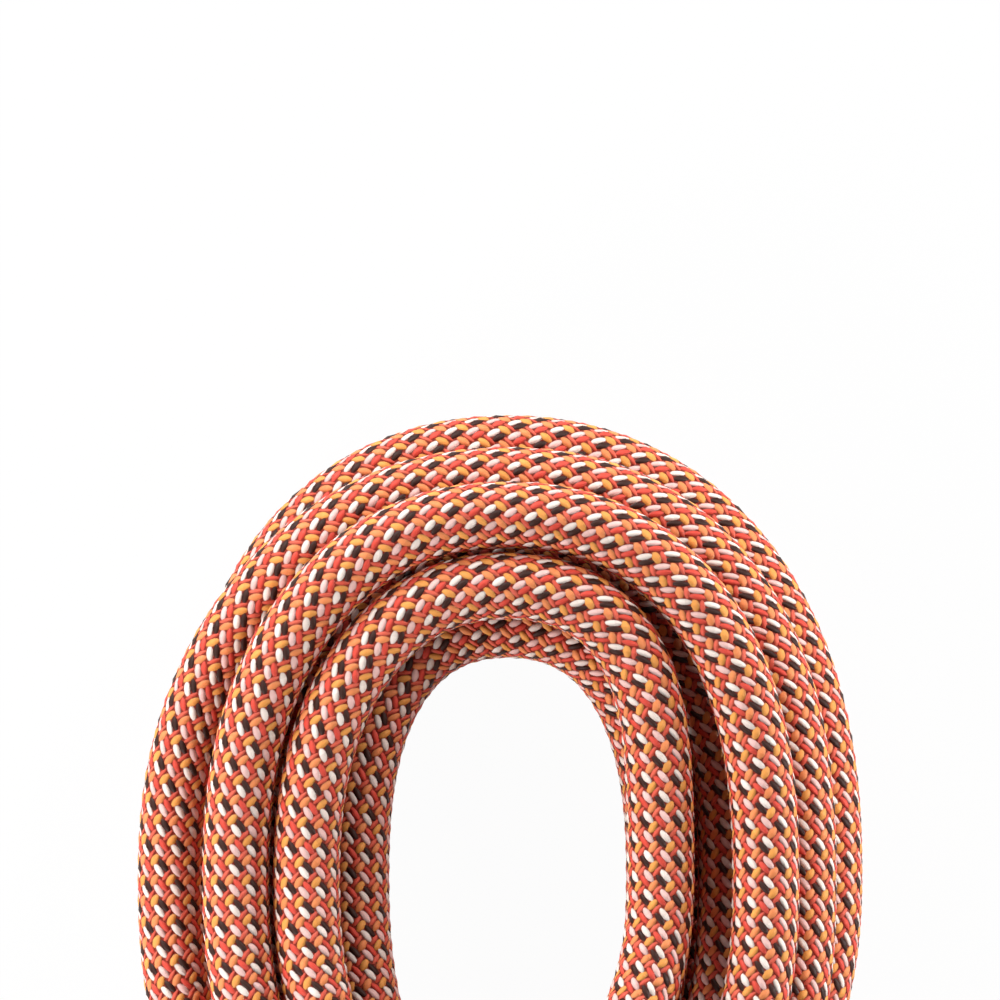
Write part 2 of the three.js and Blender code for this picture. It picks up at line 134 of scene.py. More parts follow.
@dataclass(frozen=True)
class HankRoute:
    """The centre line of the whole rope, from end A through the turns and tie to end B.

    Sizes are in millimetres in the waist's own frame, as the part's source has them, and
    `origin` is the middle of the hank's footprint there.
    """

    rope_diameter: float = 9.8
    step: float = 10.65
    floor_level: float = 3.92
    end_level: float = 5.8
    upper_left: float = 21.8
    upper_right: float = 23.2
    upper_shoulder: float = 108.0
    upper_rise: float = 36.6
    upper_squareness: float = 2.4
    lower_left: float = 15.7
    lower_right: float = 23.3
    lower_shoulder: float = 78.7625
    lower_rise: float = 18.9
    lower_squareness: float = 2.0
    tie_turns: float = 4.5
    tie_bend_radius: float = 20.0
    start_end_place: float = 2.25
    end_straight: float = 34.0
    climb_from: float = 0.6
    climb_to: float = 1.2
    run_in_folds: float = 0.4
    end_lift: float = 26.0
    origin: tuple[float, float] = (-0.20826, 25.86502)
    softening: float = 3.0
    fine_step: float = 0.25
    run_points: int = 61
    fold_points: int = 122
    half_turn_points: int = 49
    bend_points: int = 40
    turns: tuple[Turn, ...] = (
        Turn(0, 1, 2.1, 2.45, 2.4, 1.6, 1.0, 1.0),
        Turn(0, 0, 1.05, 0.5, 0.5, 0.6, 0.0, 0.0),
        Turn(1, 0, 0.0, 0.0, 0.0, 0.55, 1.0, 1.0),
        Turn(1, 1, 1.3, 1.0, 1.0, 1.55, 2.0, 2.0),
        Turn(1, 2, 2.57, 2.0, 2.0, 2.25, 2.0, 2.0),
        Turn(2, 1, 1.64, 1.52, 1.45, 1.15, 1.0, 1.0),
        Turn(2, 0, 0.67, 0.55, 0.0),
    )

    @property
    def tie_half(self) -> float:
        """Half of the tie along Y."""
        return self.tie_turns * self.step / 2

    @property
    def tie_side_radius(self) -> float:
        """Radius of the tie's round sides."""
        return 2 * self.step

    @property
    def tie_flat_half(self) -> float:
        """Half of the tie's straight stretch."""
        return 1.5 * self.step

    @property
    def waist_end(self) -> float:
        """The runs are straight up to here."""
        return self.tie_half + self.step / 2

    @property
    def tie_entry(self) -> tuple[float, float]:
        """Where a run stops and the bend into the tie begins."""
        return self.tie_bend_radius - self.tie_flat_half, self.tie_half + self.tie_bend_radius

    def height(self, layer: Array | float, y: Array) -> Array:
        """Centre height of a layer, settled at the folds and raised over the tie."""
        upper, lower = self.upper_shoulder + 2 * self.step, self.lower_shoulder + 3 * self.step
        settled = ease(self.waist_end, np.where(y > 0, upper, lower), np.abs(y))
        return self.floor_level + self.step * (layer + 1 - settled)

    def run(
        self,
        waist: tuple[float, float],
        shoulder: tuple[float, float],
        places: tuple[float, float],
        layer_at: LayerAt,
    ) -> Array:
        """An S-shaped run from the waist to a shoulder, moved outward along its normal.

        Args:
            waist: Its start, in x and y.
            shoulder: Its end.
            places: Steps outward at the waist and at the shoulder.
            layer_at: The layer at a share of the run.

        Returns:
            Points, from the waist outward.
        """
        t = np.linspace(0.0, 1.0, self.run_points)
        side = np.sign(shoulder[0])
        x = mix(waist[0], shoulder[0], ease(0, 1, t))
        y = mix(waist[1], shoulder[1], t)
        slope = 30 * t * t * (1 - t) * (1 - t)
        lean = (shoulder[0] - waist[0]) * slope / (shoulder[1] - waist[1])
        out = self.step * mix(places[0], places[1], ease(0, 1, t)) / np.hypot(1, lean)
        return np.column_stack([x + side * out, y - side * lean * out, self.height(layer_at(t), y)])

    def fold(
        self,
        start: tuple[float, float],
        end: tuple[float, float],
        rise: float,
        squareness: float,
        places: tuple[float, float, float],
        layer_at: LayerAt,
    ) -> Array:
        """A fold between two shoulders: half a superellipse, moved outward.

        Args:
            start: The shoulder that it leaves.
            end: The shoulder that it reaches.
            rise: Its height beyond the shoulders.
            squareness: Exponent of its outline, 2 for an ellipse.
            places: Steps outward at the start, the tip and the end.
            layer_at: The layer at a share of the fold.

        Returns:
            Points between the shoulders, which belong to the runs.
        """
        share = np.linspace(0.0, 1.0, self.fold_points)[1:-1]
        angle = np.pi * share
        centre, reach = (start[0] + end[0]) / 2, (start[0] - end[0]) / 2
        across = signed_power(np.cos(angle), 2 / squareness)
        beyond = np.sign(start[1]) * signed_power(np.sin(angle), 2 / squareness)
        normal = unit(np.column_stack([
            signed_power(across, squareness - 1) / reach,
            signed_power(beyond, squareness - 1) / rise,
        ]))
        sides = mix(places[0], places[2], (1 - np.cos(angle)) / 2)
        out = self.step * mix(sides, places[1], np.sin(angle) ** 2)
        x = centre + reach * across + normal[:, 0] * out
        y = start[1] + rise * beyond + normal[:, 1] * out
        return np.column_stack([x, y, self.height(layer_at(share), y)])

    def upper_half(self, turn: Turn, is_last: bool) -> Array:
        """Up the left run, over the upper fold and down the right run."""
        left = (-self.upper_left, self.upper_shoulder)
        right = (self.upper_right, self.upper_shoulder)
        half = self.step / 2

        def level(_: Array) -> float:
            """The turn's own layer all the way."""
            return turn.layer

        def climb(t: Array) -> Array:
            """The last run climbs to the top of the tie."""
            return mix(turn.layer + 1, turn.layer, ease(0, 1, t))

        up = self.run((-half, self.waist_end), left, (turn.slot, turn.left), level)
        places = (turn.left, turn.top, turn.right)
        over = self.fold(left, right, self.upper_rise, self.upper_squareness, places, level)
        if is_last:
            down = self.run(self.tie_entry, right, (0.0, turn.right), climb)
        else:
            down = self.run((half, self.waist_end), right, (turn.slot, turn.right), level)
        return np.vstack([up, over, down[::-1]])

    def lower_half(self, turn: Turn, following: Turn) -> Array:
        """Down the right run, round the lower fold and up the left run of the next turn."""
        right = (self.lower_right, -self.lower_shoulder)
        left = (-self.lower_left, -self.lower_shoulder)
        half = self.step / 2

        def level(t: Array) -> Array:
            """The layer at a share of the fold, below 0 on the run before it, past 1 after it.

            An outer pass climbs before its fold, an inner one late in it and beyond.
            """
            climb = (-1.0, 0.0) if turn.slot > 0 else (self.climb_from, self.climb_to)
            return turn.layer + (following.layer - turn.layer) * ease(*climb, t)

        def after(t: Array) -> Array:
            """The layer along the next run, which counts from the waist."""
            return level(1 + self.run_in_folds * (1 - t))

        places = (turn.low_right, turn.low, turn.low_left)
        down = self.run(
            (half, -self.waist_end), right, (turn.slot, turn.low_right), lambda t: level(t - 1)
        )
        under = self.fold(right, left, self.lower_rise, self.lower_squareness, places, level)
        up = self.run((-half, -self.waist_end), left, (following.slot, turn.low_left), after)
        return np.vstack([down, under, up[::-1]])

    def tie(self) -> tuple[Array, Array]:
        """The tie: a helix round the waist, straight above and below, round at the sides.

        Returns:
            Its points and the way outward at each.
        """
        half_turns = int(2 * self.tie_turns)
        halves = np.repeat(np.arange(half_turns), self.half_turn_points)
        angle = np.tile(np.linspace(0.0, np.pi, self.half_turn_points), half_turns)
        side = np.where(halves % 2 == 0, -1.0, 1.0)
        arc = np.pi * self.tie_side_radius
        around = 2 * arc + 4 * self.tie_flat_half
        travelled = halves * around / 2 + self.tie_side_radius * angle
        outward = np.column_stack([side * np.sin(angle), 0 * angle, -side * np.cos(angle)])
        centres = np.column_stack([
            side * self.tie_flat_half,
            self.tie_half - self.step * travelled / around,
            np.full(len(angle), self.floor_level + self.tie_side_radius),
        ])
        return centres + self.tie_side_radius * outward, outward

    def quarter_bend(self, sign: int, height: float) -> Array:
        """The level bend between a run at the middle and the tie's left edge."""
        angle = np.linspace(0.0, np.pi / 2, self.bend_points)[:-1]
        x = -self.tie_flat_half + self.tie_bend_radius * np.cos(angle)
        y = sign * (self.tie_half + self.tie_bend_radius * (1 - np.sin(angle)))
        return np.column_stack([x, y, np.full(len(angle), height)])

    def start(self) -> Array:
        """End A: under the turns, beside the lower fold, straight where the sleeve is."""
        shoulder = (-self.lower_left, -self.lower_shoulder)
        places = (self.turns[0].slot, self.start_end_place)
        out = self.run((-self.step / 2, -self.waist_end), shoulder, places, lambda t: 0 * t)[::-1]
        lift = ease(self.lower_shoulder - self.end_lift, self.lower_shoulder, -out[:, 1])
        out[:, 2] = mix(out[:, 2], self.end_level, lift)
        tip = out[0] - [0, self.end_straight, 0]
        return np.vstack([tip[None], out])

    def finish(self) -> Array:
        """End B: out from under the tie, straight, inside the lower fold."""
        x, y = self.tie_entry
        first = [x, -y - self.rope_diameter, self.end_level]
        return np.array([first, [x, -y - self.rope_diameter - self.end_straight, self.end_level]])

    def points(self) -> tuple[Array, Array]:
        """The whole route as the formulas give it, in the order of the rope.

        Returns:
            Points in millimetres, and at each the direction that its section calls up.
        """
        parts = [self.start()]
        for turn, following in zip(self.turns, (*self.turns[1:], None)):
            parts.append(self.upper_half(turn, following is None))
            if following is not None:
                parts.append(self.lower_half(turn, following))
        above = np.vstack(parts)[:-1]
        top = self.floor_level + 2 * self.tie_side_radius
        into = self.quarter_bend(1, top)
        wound, outward = self.tie()
        out_of = np.vstack([self.quarter_bend(-1, self.floor_level)[::-1], self.finish()])
        up, down = np.array([0.0, 0.0, 1.0]), np.array([0.0, 0.0, -1.0])
        ups = [np.tile(up, (len(above) + len(into), 1)), outward, np.tile(down, (len(out_of), 1))]
        return np.vstack([above, into, wound, out_of]), np.vstack(ups)

    def rings(self, spacing: float) -> "Rings":
        """The route softened over a few millimetres and cut into even steps.

        Args:
            spacing: Wanted distance between rings, in millimetres.

        Returns:
            The rings with their frames, in metres in the part's frame.
        """
        points, ups = self.points()
        keep = np.r_[True, np.linalg.norm(np.diff(points, axis=0), axis=1) > 1e-6]
        points, ups = points[keep], ups[keep]
        points, ups = even_steps(points, ups, self.fine_step)
        reach = int(4 * self.softening / self.fine_step)
        away = np.arange(-reach, reach + 1) * self.fine_step / self.softening
        window = np.exp(-0.5 * away**2)
        window /= window.sum()
        head = 2 * points[0] - points[reach:0:-1]
        tail = 2 * points[-1] - points[-2:-reach - 2:-1]
        padded = np.vstack([head, points, tail])
        points = np.column_stack([np.convolve(c, window, "valid") for c in padded.T])
        points, ups = even_steps(points, ups, spacing)
        return Rings.along_route((points - [*self.origin, 0.0]) * MM, ups)


def even_steps(points: Array, ups: Array, spacing: float) -> tuple[Array, Array]:
    """A polyline and the directions on it, cut again into even steps."""
    way = np.r_[0.0, np.cumsum(np.linalg.norm(np.diff(points, axis=0), axis=1))]
    places = np.linspace(0.0, way[-1], int(round(way[-1] / spacing)) + 1)
    at = np.column_stack([np.interp(places, way, c) for c in points.T])
    return at, unit(np.column_stack([np.interp(places, way, c) for c in ups.T]))


@dataclass(frozen=True)
class Rings:
    """Places along the rope, each with its way along, its side and its up."""

    at: Array
    along: Array
    side: Array
    up: Array
    headings: ClassVar[tuple[float, ...]] = (-90, -80, -60, -40, -20, 0, 60, 75, 90)
    roll_rates: ClassVar[tuple[float, ...]] = (0, 0.7, 2.4, 2.1, 0, -2.2, -2.0, -1.2, 0)
    upper_half_from: ClassVar[float] = 20 * MM

    @classmethod
    def along_route(cls, at: Array, ups: Array) -> "Rings":
        """Frames from the middle differences of the points and the wanted ups."""
        along = unit(np.gradient(at, axis=0))
        up = unit(ups - along * np.sum(ups * along, axis=1, keepdims=True))
        return cls(at, along, np.cross(along, up), up)

    @property
    def length(self) -> float:
        """Length of the centre line."""
        return float(np.linalg.norm(np.diff(self.at, axis=0), axis=1).sum())

    @property
    def roll(self) -> Array:
        """How far the sheath has rolled round the rope, which each upper fold winds and unwinds.

        The rate, in degrees a millimetre, follows the way that the rope heads, seen from above.
        """
        heading = np.degrees(np.arctan2(self.along[:, 1], self.along[:, 0]))
        rate = np.interp(heading, self.headings, self.roll_rates, left=0.0, right=0.0)
        rate = rate * (self.at[:, 1] > self.upper_half_from)
        steps = np.linalg.norm(np.diff(self.at, axis=0), axis=1) / MM
        return np.radians(np.r_[0.0, np.cumsum((rate[1:] + rate[:-1]) / 2 * steps)])

    def every(self, count: int) -> "Rings":
        """Every so many rings, with the last one kept."""
        picks = np.unique(np.r_[np.arange(0, len(self.at), count), len(self.at) - 1])
        return Rings(self.at[picks], self.along[picks], self.side[picks], self.up[picks])

    def surface(self, angle: Array, radius: Array) -> Array:
        """Points round each ring: rings x sides x 3.

        Args:
            angle: Angles of its points, one row per ring or one for all.
            radius: Their distances in metres, of either shape.
        """
        at, side, up = self.at[:, None], self.side[:, None], self.up[:, None]
        return section_points(at, side, up, angle, radius)


# ------------------------------------------------------------------ meshes


def grid_quads(rows: int, sides: int, base: int = 0, inward: bool = False) -> Array:
    """Quads between rows of points that close round; outward unless `inward`."""
    r, k = np.meshgrid(np.arange(rows - 1), np.arange(sides), indexing="ij")
    a = base + r * sides + k
    b = base + r * sides + (k + 1) % sides
    quads = np.stack([a, a + sides, b + sides, b], axis=-1).reshape(-1, 4)
    return quads[:, ::-1] if inward else quads


def end_caps(rows: int, sides: int) -> list[list[int]]:
    """A face on the first row of `grid_quads` and one on its last."""
    last = (rows - 1) * sides
    return [list(range(sides)), [last + k for k in reversed(range(sides))]]


def split_squares(squares: Array, crest_first: Array) -> Array:
    """Squares cut into two triangles each, from dip to dip.

    Args:
        squares: A number or some numbers for each of their four corners.
        crest_first: Whether the first corner of each is a crest.
    """
    first = crest_first.reshape(-1, *[1] * (squares.ndim - 1))
    one = np.where(first, squares[:, [0, 1, 3]], squares[:, [0, 1, 2]])
    two = np.where(first, squares[:, [1, 2, 3]], squares[:, [0, 2, 3]])
    return np.stack([one, two], axis=1).reshape(-1, *one.shape[1:])


def add_object(name: str, data: bpy.types.ID) -> bpy.types.Object:
    """A new object round its data, in the scene."""
    made = bpy.data.objects.new(name, data)
    bpy.context.scene.collection.objects.link(made)
    return made


def make_piece(name: str, points: Array, faces: Sequence[Sequence[int]]) -> bpy.types.Object:
    """A smooth-shaded mesh object at the origin.

    Args:
        name: The piece's name.
        points: Its points in metres.
        faces: Its faces as rows of point numbers.

    Returns:
        The new object, in the scene.
    """
    mesh = bpy.data.meshes.new(name)
    mesh.from_pydata(points.reshape(-1, 3).tolist(), [], [list(map(int, f)) for f in faces])
    mesh.shade_smooth()
    mesh.update()
    return add_object(name, mesh)


def add_map(piece: bpy.types.Object, name: str, corners: Array) -> None:
    """A UV map from a pair of numbers per face corner, with 0 at the corners left over."""
    pairs = np.zeros((len(piece.data.loops), 2), np.float32)
    pairs[: len(corners)] = corners
    piece.data.uv_layers.new(name=name).uv.foreach_set("vector", pairs.ravel())


def grid_corners(rows: int, sides: int) -> tuple[Array, Array]:
    """The row and the side of each corner of `grid_quads`, not wrapped at the seam."""
    r, k = np.meshgrid(np.arange(rows - 1), np.arange(sides), indexing="ij")
    row = np.stack([r, r + 1, r + 1, r], axis=-1).ravel()
    side = np.stack([k, k, k + 1, k + 1], axis=-1).ravel()
    return row, side


# ------------------------------------------------------------------ shader nodes


def math_method(operation: str, swapped: bool = False) -> Callable[..., "Value"]:
    """A method of a Value: one Math node on it and the others, which `swapped` puts first."""

    def method(self: "Value", *others: Any) -> "Value":
        values = (*others, self) if swapped else (self, *others)
        inputs = dict(enumerate(values))
        node = self.graph.node("ShaderNodeMath", {"operation": operation}, inputs)
        return Value(self.graph, node.outputs[0])

    return method


@dataclass(frozen=True)
class Value:
    """A shader socket and its graph. Operators and the methods below add Math nodes."""

    graph: "Graph"
    socket: bpy.types.NodeSocket

    __add__ = __radd__ = math_method("ADD")
    __sub__ = math_method("SUBTRACT")
    __rsub__ = math_method("SUBTRACT", swapped=True)
    __mul__ = math_method("MULTIPLY")
    __truediv__ = math_method("DIVIDE")
    __mod__ = math_method("FLOORED_MODULO")
    __gt__ = math_method("GREATER_THAN")
    floor = math_method("FLOOR")
    cosine = math_method("COSINE")
    root = math_method("SQRT")
    at_least = math_method("MAXIMUM")
    at_most = math_method("MINIMUM")


class Graph:
    """The node tree of one material, or of a world, with its one shader."""

    def __init__(self, name: str, of_world: bool = False) -> None:
        """Makes the material or world and finds its shader."""
        self.owner = (bpy.data.worlds if of_world else bpy.data.materials).new(name)
        self.owner.use_nodes = True
        self.tree = self.owner.node_tree
        self.shader = self.tree.nodes["Background" if of_world else "Principled BSDF"]

    def node(
        self,
        kind: str,
        settings: dict[str, Any] | None = None,
        inputs: dict[int | str, Any] | None = None,
    ) -> bpy.types.Node:
        """Any node: its settings first, then the values or links of its sockets.

        Args:
            kind: The node's type.
            settings: Its properties.
            inputs: A number, colour, vector or Value for each socket named or numbered.

        Returns:
            The new node.
        """
        node = self.tree.nodes.new(kind)
        for name, value in (settings or {}).items():
            setattr(node, name, value)
        for key, value in (inputs or {}).items():
            self.feed(node.inputs[key], value)
        return node

    def feed(self, socket: bpy.types.NodeSocket, value: Any) -> None:
        """Links a Value to a socket, or sets a constant on it."""
        if isinstance(value, Value):
            self.tree.links.new(value.socket, socket)
        elif isinstance(value, tuple) and len(value) == 3 and socket.type == "RGBA":
            socket.default_value = (*value, 1.0)
        else:
            socket.default_value = value

    def value(self, node: bpy.types.Node, output: int | str = 0) -> Value:
        """An output of a node as a Value."""
        return Value(self, node.outputs[output])

    def stripes(self, number: Value, tints: Sequence[Colour]) -> Value:
        """One flat colour for each whole number, repeating after the last.

        Args:
            number: A whole number.
            tints: The colours in order.

        Returns:
            The colour of that number.
        """
        count = len(tints)
        node = self.node("ShaderNodeValToRGB", {}, {0: (number % count + 0.5) / count})
        ramp = node.color_ramp
        ramp.interpolation = "CONSTANT"
        while len(ramp.elements) < count:
            ramp.elements.new(1.0)
        for i, (element, tint) in enumerate(zip(ramp.elements, tints)):
            element.position, element.color = i / count, (*tint, 1.0)
        return self.value(node)

    def blend(self, share: Any, a: Any, b: Any, way: str = "MIX") -> Value:
        """A colour between two colours."""
        settings = {"data_type": "RGBA", "blend_type": way}
        return self.value(self.node("ShaderNodeMix", settings, {0: share, 6: a, 7: b}), 2)

    def vector(self, x: Any, y: Any, z: Any) -> Value:
        """A vector of three numbers."""
        return self.value(self.node("ShaderNodeCombineXYZ", {}, {0: x, 1: y, 2: z}))

    def noise(self, place: Value, scale: float, detail: float = 2.0) -> Value:
        """Smooth noise from 0 to 1."""
        inputs = {"Vector": place, "Scale": scale, "Detail": detail}
        return self.value(self.node("ShaderNodeTexNoise", {}, inputs))

    def chance(self, place: Value) -> Value:
        """A random number from 0 to 1 for each place."""
        return self.value(self.node("ShaderNodeTexWhiteNoise", {}, {"Vector": place}))

    def uv(self, name: str) -> tuple[Value, Value]:
        """The two numbers of a UV map."""
        place = self.value(self.node("ShaderNodeUVMap", {"uv_map": name}))
        apart = self.node("ShaderNodeSeparateXYZ", {}, {0: place})
        return self.value(apart, 0), self.value(apart, 1)

    def object_place(self) -> Value:
        """The place in the part's frame, in metres."""
        return self.value(self.node("ShaderNodeTexCoord"), "Object")

    def bump(self, height: Value, distance: float, strength: float = 1.0) -> Value:
        """A normal from a height that is 1 at `distance` metres."""
        inputs = {"Strength": strength, "Distance": distance, "Height": height}
        return self.value(self.node("ShaderNodeBump", {}, inputs))

    def seen(self) -> Value:
        """1 for what the camera sees, straight or mirrored, and 0 for what only lights."""
        ray = self.node("ShaderNodeLightPath")
        return self.value(ray, "Is Camera Ray").at_least(self.value(ray, "Is Glossy Ray"))

    def surface(self, **sockets: Any) -> bpy.types.ID:
        """Feeds the shader; underscores in a name stand for spaces."""
        for name, value in sockets.items():
            self.feed(self.shader.inputs[name.replace("_", " ")], value)
        return self.owner


# ------------------------------------------------------------------ finishes


@dataclass(frozen=True)
class BraidFinish:
    """The woven sheath: twelve pairs of yarns each way, one pair over one pair.

    On the map `Weave`, x counts columns of floats round the rope and y rows along it.
    x - y numbers the pairs that lean one way (s) and x + y those that lean the other way
    (z). `split_s` and `split_z` say where the two yarns of a pair meet, `reach_s` and
    `reach_z` how far a float shows before it dives, and `lead` how far the s yarns stand
    above the z yarns. `side_sink` is how steeply a yarn's sides fall into the painted
    shade, a dark red-brown laid between and beside the yarns.
    """

    name: str = "sheath yarn"
    split_s: float = -0.02
    split_z: float = 0.1
    swell: float = 1.1
    reach_s: float = 1.55
    reach_z: float = 1.2
    lead: float = 0.1
    side_sink: float = 1.6
    relief: float = 0.5 * MM
    fibre_relief: float = 0.06
    fibres_across: float = 26.0
    fibres_along: float = 2.4
    luck_spread: float = 60.0
    luck_share: float = 0.7
    dull: Colour = (0.82, 0.78, 0.76)
    bright: Colour = WHITE
    pale: tuple[Colour, ...] = (colour(255, 240, 230), colour(253, 208, 201))
    partner: tuple[Colour, ...] = (colour(54, 25, 17), colour(230, 82, 66))
    crossing_a: tuple[Colour, ...] = (colour(236, 106, 84), colour(228, 94, 74))
    crossing_b: tuple[Colour, ...] = (colour(250, 152, 95), colour(248, 168, 86))
    # Painted shade: the dark red-brown that fills the hollows between and beside the yarns.
    gap_shade: Colour = colour(128, 38, 22)

    def make(self) -> bpy.types.Material:
        """Builds the weave's nodes.

        Returns:
            The sheath's material.
        """
        g = Graph(self.name)
        x, y = g.uv("Weave")
        lean_s, lean_z = x - y, x + y
        pair_s, pair_z = (lean_s + 0.5).floor(), (lean_z + 0.5).floor()
        off_s, off_z = lean_s - pair_s, lean_z - pair_z
        over = 1 - (pair_s + pair_z) % 2 * 2
        first_s, first_z = off_s > self.split_s, off_z > self.split_z
        across_s = self.across(off_s, first_s, self.split_s)
        across_z = self.across(off_z, first_z, self.split_z)
        grain_s = self.grain(across_s, over * (off_z * np.pi).cosine(), self.reach_s)
        grain_z = self.grain(across_z, over * (off_s * np.pi).cosine() * -1, self.reach_z)
        s_on_top = grain_s + self.lead > grain_z
        grain = s_on_top * grain_s + (1 - s_on_top) * grain_z

        # Each kind of pick has numbers of its own: which way it leans and which yarn it is.
        pick = g.vector(
            pair_s % WEAVE_COLUMNS + s_on_top * 20 + first_s * 40,
            pair_z % WEAVE_COLUMNS + first_z * 40,
            (pair_z - pair_s) / 2 % PERIOD_ROWS,
        )
        luck = g.chance(pick)
        tint_s = g.blend(first_s, g.stripes(pair_s, self.partner), g.stripes(pair_s, self.pale))
        tint_z = g.blend(
            first_z, g.stripes(pair_z, self.crossing_b), g.stripes(pair_z, self.crossing_a)
        )
        tint = g.blend(s_on_top, tint_z, tint_s)
        across = s_on_top * off_s + (1 - s_on_top) * off_z
        along = s_on_top * off_z + (1 - s_on_top) * off_s
        fibre = g.vector(
            across * self.fibres_across, along * self.fibres_along, luck * self.luck_spread
        )
        strands = g.noise(fibre, 1.0, 1.0)
        light = luck * self.luck_share + strands * (1 - self.luck_share)
        tint = g.blend(1.0, tint, g.blend(light, self.dull, self.bright), "MULTIPLY")
        # Painted shade: the colour sinks into the dark red-brown where the yarns fall away at their
        # sides and between them.
        tint = g.blend((grain * self.side_sink).at_most(1.0), self.gap_shade, tint)
        return g.surface(
            Base_Color=tint,
            Roughness=0.62 - strands * 0.2,
            Specular_IOR_Level=0.2,
            Normal=g.bump(grain + strands * self.fibre_relief, self.relief),
        )

    def across(self, off: Value, first: Value, split: float) -> Value:
        """Place across one yarn of a pair: 0 on its middle, 1 and -1 near its edges.

        Args:
            off: Place across the pair.
            first: 1 on the first yarn and 0 on the second.
            split: Where the two yarns meet.

        Returns:
            The place, past 1 or -1 in the space beside the yarn.
        """
        side = first * 2 - 1
        return (off - split / 2 - side * 0.25) / ((0.25 - side * (split / 2)) * self.swell)

    def grain(self, across: Value, above: Value, reach: float) -> Value:
        """Height of a yarn where it lies over: each float is a grain.

        Args:
            across: Place across the yarn.
            above: 1 in the middle of a float, 0 where it dives, -1 where it is deepest.
            reach: How far from its middle a float can be seen, on the same scale.

        Returns:
            0 outside the grain, 1 on its crown.
        """
        return (1 - across * across - (1 - above) / reach).at_least(0.0).root()


@dataclass(frozen=True)
class TwistFinish:
    """Twisted polyamide: filaments that wind round a strand on the map `Weave`."""

    name: str
    # `light` is the filaments' colour on their ridges; `dark` is painted shade in the grooves
    # between them.
    light: Colour
    dark: Colour
    lay: float = 4.0

    def make(self) -> bpy.types.Material:
        """Builds the strand's material."""
        g = Graph(self.name)
        x, y = g.uv("Weave")
        ridge = ((x * 12 + y * self.lay) * (2 * np.pi)).cosine() * 0.5 + 0.5
        uneven = g.noise(g.vector(x * 3, y * 0.5, 0.0), 2.0)
        return g.surface(
            # Painted shade in the grooves: seven tenths of the blend follow the ridge height; the
            # rest is random patchy tone.
            Base_Color=g.blend(ridge * 0.7 + uneven * 0.3, self.dark, self.light),
            Roughness=0.7 - ridge * 0.15,
            Sheen_Weight=0.15,
            Normal=g.bump(ridge, 0.12 * MM),
        )


@dataclass(frozen=True)
class ShrunkFinish:
    """A shrunk tube through which the weave under it can be felt."""

    name: str = "end sleeve"
    tint: Colour = colour(44, 44, 47)
    worn: Colour = colour(78, 78, 82)

    def make(self) -> bpy.types.Material:
        """Builds the sleeve's material: weave print, fine scuffs and a satin skin."""
        g = Graph(self.name)
        x, y = g.uv("Weave")
        print_s = ((x - y) * np.pi).cosine()
        print_z = ((x + y) * np.pi).cosine()
        felt = print_s * print_z
        place = g.object_place()
        scuff = g.noise(place, 900.0, 4.0)
        wear = ((g.noise(place, 160.0, 3.0) - 0.52) * 6).at_least(0.0).at_most(1.0)
        return g.surface(
            Base_Color=g.blend(wear * scuff, self.tint, self.worn),
            Roughness=0.42 + scuff * 0.22,
            Normal=g.bump(felt * 0.5 + scuff * 0.25, 0.16 * MM),
        )


@dataclass(frozen=True)
class FusedFinish:
    """Sheath and core melted into one lump, with the yarns' colours run together."""

    name: str = "fused nylon"
    dark: Colour = colour(66, 30, 22)
    light: Colour = colour(188, 92, 56)

    def make(self) -> bpy.types.Material:
        """Builds the lump's material."""
        g = Graph(self.name)
        place = g.object_place()
        swirl = g.noise(place, 420.0, 5.0)
        blot = ((g.noise(place, 240.0, 2.0) - 0.42) * 4).at_least(0.0).at_most(1.0)
        return g.surface(
            Base_Color=g.blend(swirl * blot, self.dark, self.light),
            Roughness=0.28 + swirl * 0.3,
            Normal=g.bump(swirl, 0.35 * MM),
        )


# ------------------------------------------------------------------ sub-assemblies


class End(Enum):
    """The two ends of the rope."""

    A = "a"
    B = "b"


